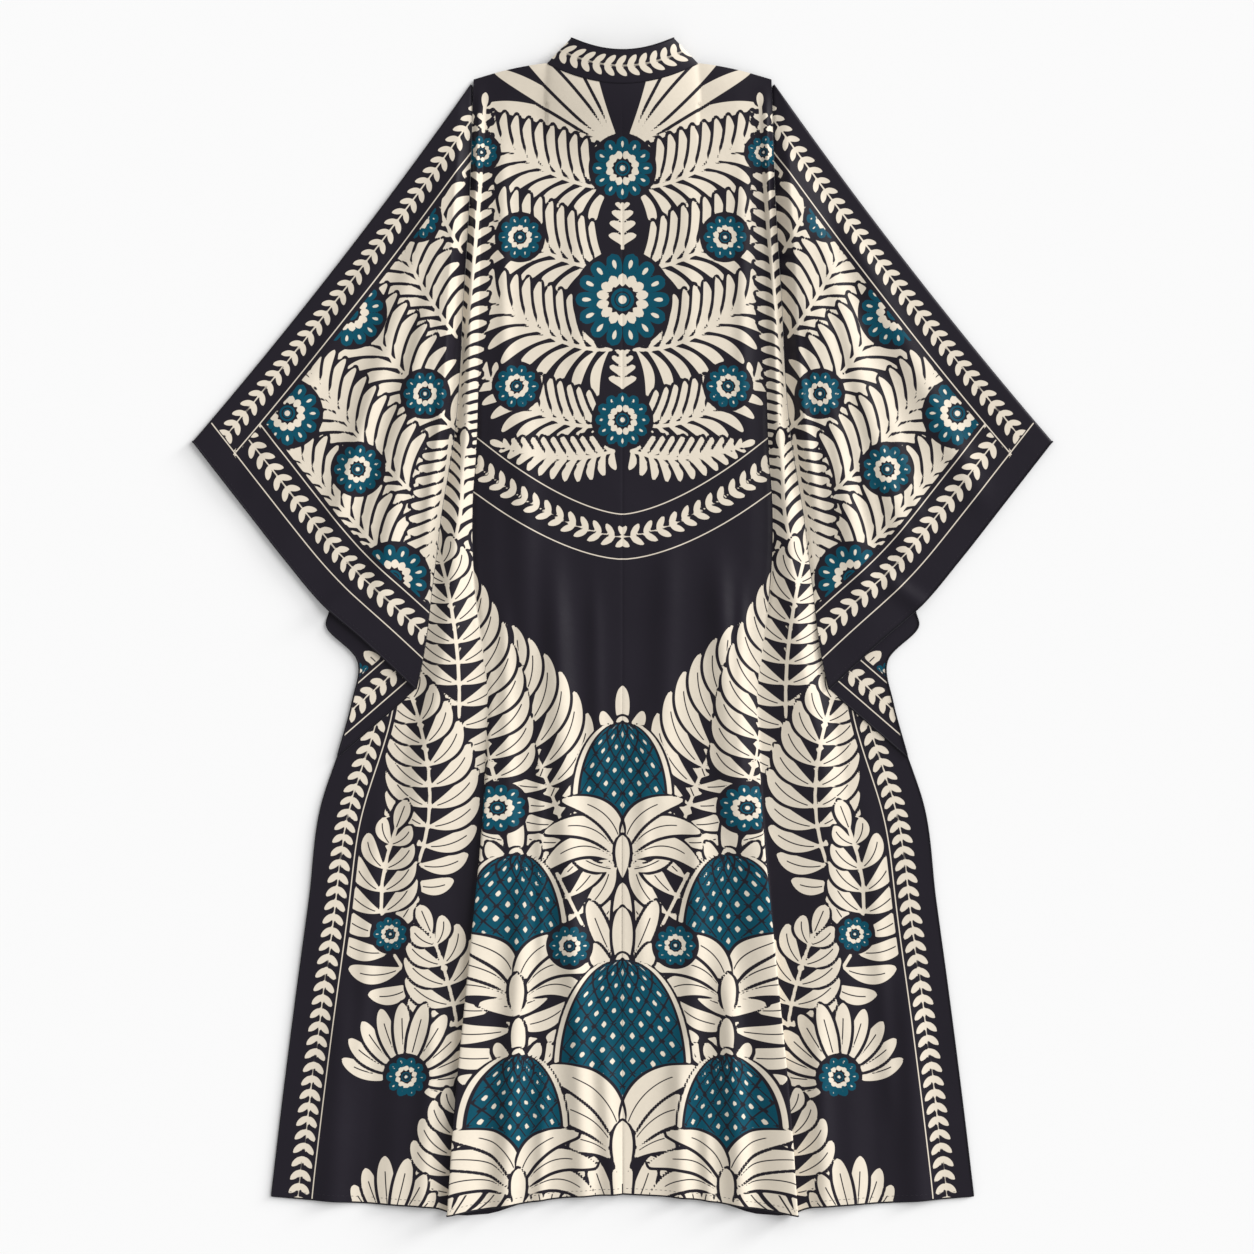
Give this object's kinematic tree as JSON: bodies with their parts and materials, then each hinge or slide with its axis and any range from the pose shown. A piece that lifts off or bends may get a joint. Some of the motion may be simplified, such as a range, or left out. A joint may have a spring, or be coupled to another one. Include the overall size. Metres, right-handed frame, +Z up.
{
  "type": "kimono robe",
  "caption": "Wide silk robe with a short stand collar and wide drooping sleeves, laid out flat with its printed back upward.",
  "frame": {"origin": "on the surface that the robe lies on, under the middle of its outline", "axes": "+Y from the hem towards the collar, +X towards the right sleeve as seen from above, +Z up from the surface"},
  "size_m": [1.0738, 1.4681, 0.027],
  "materials": {
    "printed_silk": "silk twill printed in cream, teal and near-black aubergine, softly glossy",
    "collar_silk": "near-black silk twill with a cream leaf chain"
  },
  "bodies": {
    "root": {"back_left": "printed_silk", "back_right": "printed_silk", "front_left": "printed_silk", "front_right": "printed_silk", "sleeve_left": "printed_silk", "sleeve_right": "printed_silk", "collar": "collar_silk"}
  },
  "joints": []
}
